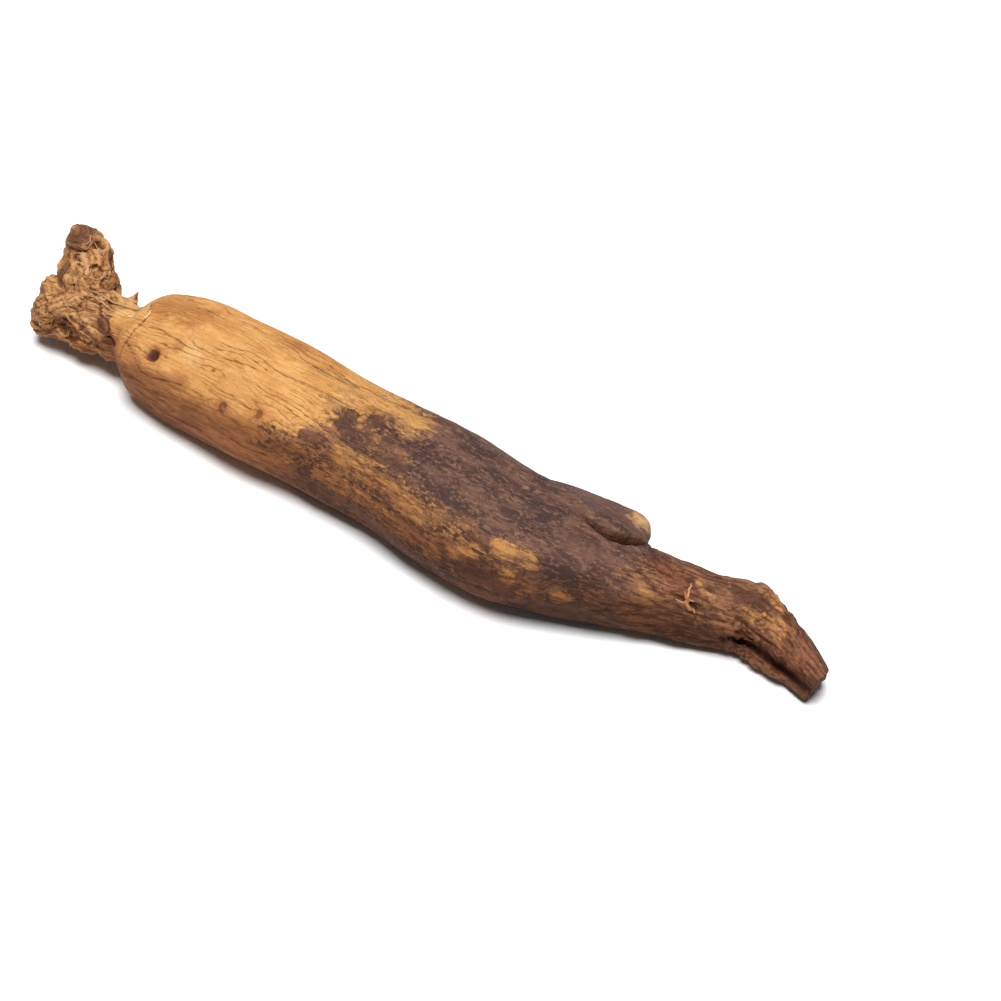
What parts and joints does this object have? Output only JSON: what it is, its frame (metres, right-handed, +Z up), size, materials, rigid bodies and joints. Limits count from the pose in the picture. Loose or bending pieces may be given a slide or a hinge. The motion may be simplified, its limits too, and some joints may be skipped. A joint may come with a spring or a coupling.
{
  "type": "ginseng root",
  "caption": "Steamed, dried ginseng root: thick furrowed body, knotted crown with stem scars, short cut side root and a bent, split leg, lying on a pressed belly.",
  "frame": {"origin": "on the surface that the root lies on, under the middle of its box", "axes": "+X from the crown towards the leg's cut end, +Y towards the short side root, +Z up from the surface"},
  "size_m": [0.1432, 0.0242, 0.0175],
  "materials": {
    "root_skin": "satin, slightly waxy, wrinkled with the grain"
  },
  "bodies": {
    "root": {"ginseng_root": "root_skin"}
  },
  "joints": []
}
